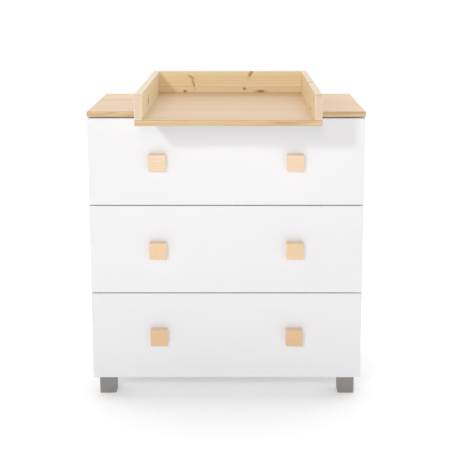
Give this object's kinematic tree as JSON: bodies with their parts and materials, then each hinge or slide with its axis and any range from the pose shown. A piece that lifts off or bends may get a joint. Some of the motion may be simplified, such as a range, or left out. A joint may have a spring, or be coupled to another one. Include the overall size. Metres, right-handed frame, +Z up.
{
  "type": "changing table",
  "caption": "Chest of drawers with an open-fronted wooden changing tray on top, square wooden knobs and low feet.",
  "frame": {"origin": "on the floor, below the middle of the overall width and depth", "axes": "+Z up, drawer fronts facing -Y, +X to the right of a person facing the drawers"},
  "size_m": [0.904, 0.895, 1.0615],
  "materials": {
    "white_board": "satin",
    "white_lacquer": "satin",
    "white_hardboard": "satin",
    "decor_board": "matte",
    "pine": "matte",
    "knob_wood": "satin",
    "grey_plastic": "satin",
    "zinc_steel": "satin"
  },
  "bodies": {
    "root": {"side_panel_left": "white_board", "side_panel_right": "white_board", "bottom_panel": "white_board", "front_rail": "white_board", "rear_rail": "white_board", "back_panel": "white_hardboard", "top_board": "decor_board", "tray_base": "decor_board", "tray_rail_left": "pine", "tray_rail_right": "pine", "tray_rail_back": "pine", "foot_front_left": "grey_plastic", "foot_front_right": "grey_plastic", "foot_rear_left": "grey_plastic", "foot_rear_right": "grey_plastic", "foot_bolts": "zinc_steel", "carcass_cams": "zinc_steel", "back_panel_nails": "zinc_steel", "tray_rail_screws": "zinc_steel", "tray_brackets": "zinc_steel", "tray_bracket_screws": "zinc_steel", "slide_top_left_cabinet_rail": "zinc_steel", "slide_top_right_cabinet_rail": "zinc_steel", "slide_middle_left_cabinet_rail": "zinc_steel", "slide_middle_right_cabinet_rail": "zinc_steel", "slide_bottom_left_cabinet_rail": "zinc_steel", "slide_bottom_right_cabinet_rail": "zinc_steel"},
    "drawer_top": {"drawer_top_front": "white_lacquer", "drawer_top_side_left": "white_board", "drawer_top_side_right": "white_board", "drawer_top_back": "white_board", "drawer_top_bottom": "white_hardboard", "knob_top_left": "knob_wood", "knob_top_right": "knob_wood", "knob_screws_top": "zinc_steel", "slide_top_left_drawer_rail": "zinc_steel", "slide_top_right_drawer_rail": "zinc_steel"},
    "middle_rails_top": {"slide_top_middle_rails": "zinc_steel"},
    "drawer_middle": {"drawer_middle_front": "white_lacquer", "drawer_middle_side_left": "white_board", "drawer_middle_side_right": "white_board", "drawer_middle_back": "white_board", "drawer_middle_bottom": "white_hardboard", "knob_middle_left": "knob_wood", "knob_middle_right": "knob_wood", "knob_screws_middle": "zinc_steel", "slide_middle_left_drawer_rail": "zinc_steel", "slide_middle_right_drawer_rail": "zinc_steel"},
    "middle_rails_middle": {"slide_middle_middle_rails": "zinc_steel"},
    "drawer_bottom": {"drawer_bottom_front": "white_lacquer", "drawer_bottom_side_left": "white_board", "drawer_bottom_side_right": "white_board", "drawer_bottom_back": "white_board", "drawer_bottom_bottom": "white_hardboard", "knob_bottom_left": "knob_wood", "knob_bottom_right": "knob_wood", "knob_screws_bottom": "zinc_steel", "slide_bottom_left_drawer_rail": "zinc_steel", "slide_bottom_right_drawer_rail": "zinc_steel"},
    "middle_rails_bottom": {"slide_bottom_middle_rails": "zinc_steel"}
  },
  "joints": [
    {"name": "drawer_top_slide", "type": "slide", "parent": "root", "child": "drawer_top", "axis": [0, -1, 0], "range_m": [0, 0.43]},
    {"name": "middle_rails_top_slide", "type": "slide", "parent": "root", "child": "middle_rails_top", "axis": [0, -1, 0], "range_m": [0, 0.215]},
    {"name": "drawer_middle_slide", "type": "slide", "parent": "root", "child": "drawer_middle", "axis": [0, -1, 0], "range_m": [0, 0.43]},
    {"name": "middle_rails_middle_slide", "type": "slide", "parent": "root", "child": "middle_rails_middle", "axis": [0, -1, 0], "range_m": [0, 0.215]},
    {"name": "drawer_bottom_slide", "type": "slide", "parent": "root", "child": "drawer_bottom", "axis": [0, -1, 0], "range_m": [0, 0.43]},
    {"name": "middle_rails_bottom_slide", "type": "slide", "parent": "root", "child": "middle_rails_bottom", "axis": [0, -1, 0], "range_m": [0, 0.215]}
  ],
  "couplings": [
    {"joint": "middle_rails_top_slide", "follows": "drawer_top_slide", "ratio": 0.5},
    {"joint": "middle_rails_middle_slide", "follows": "drawer_middle_slide", "ratio": 0.5},
    {"joint": "middle_rails_bottom_slide", "follows": "drawer_bottom_slide", "ratio": 0.5}
  ]
}
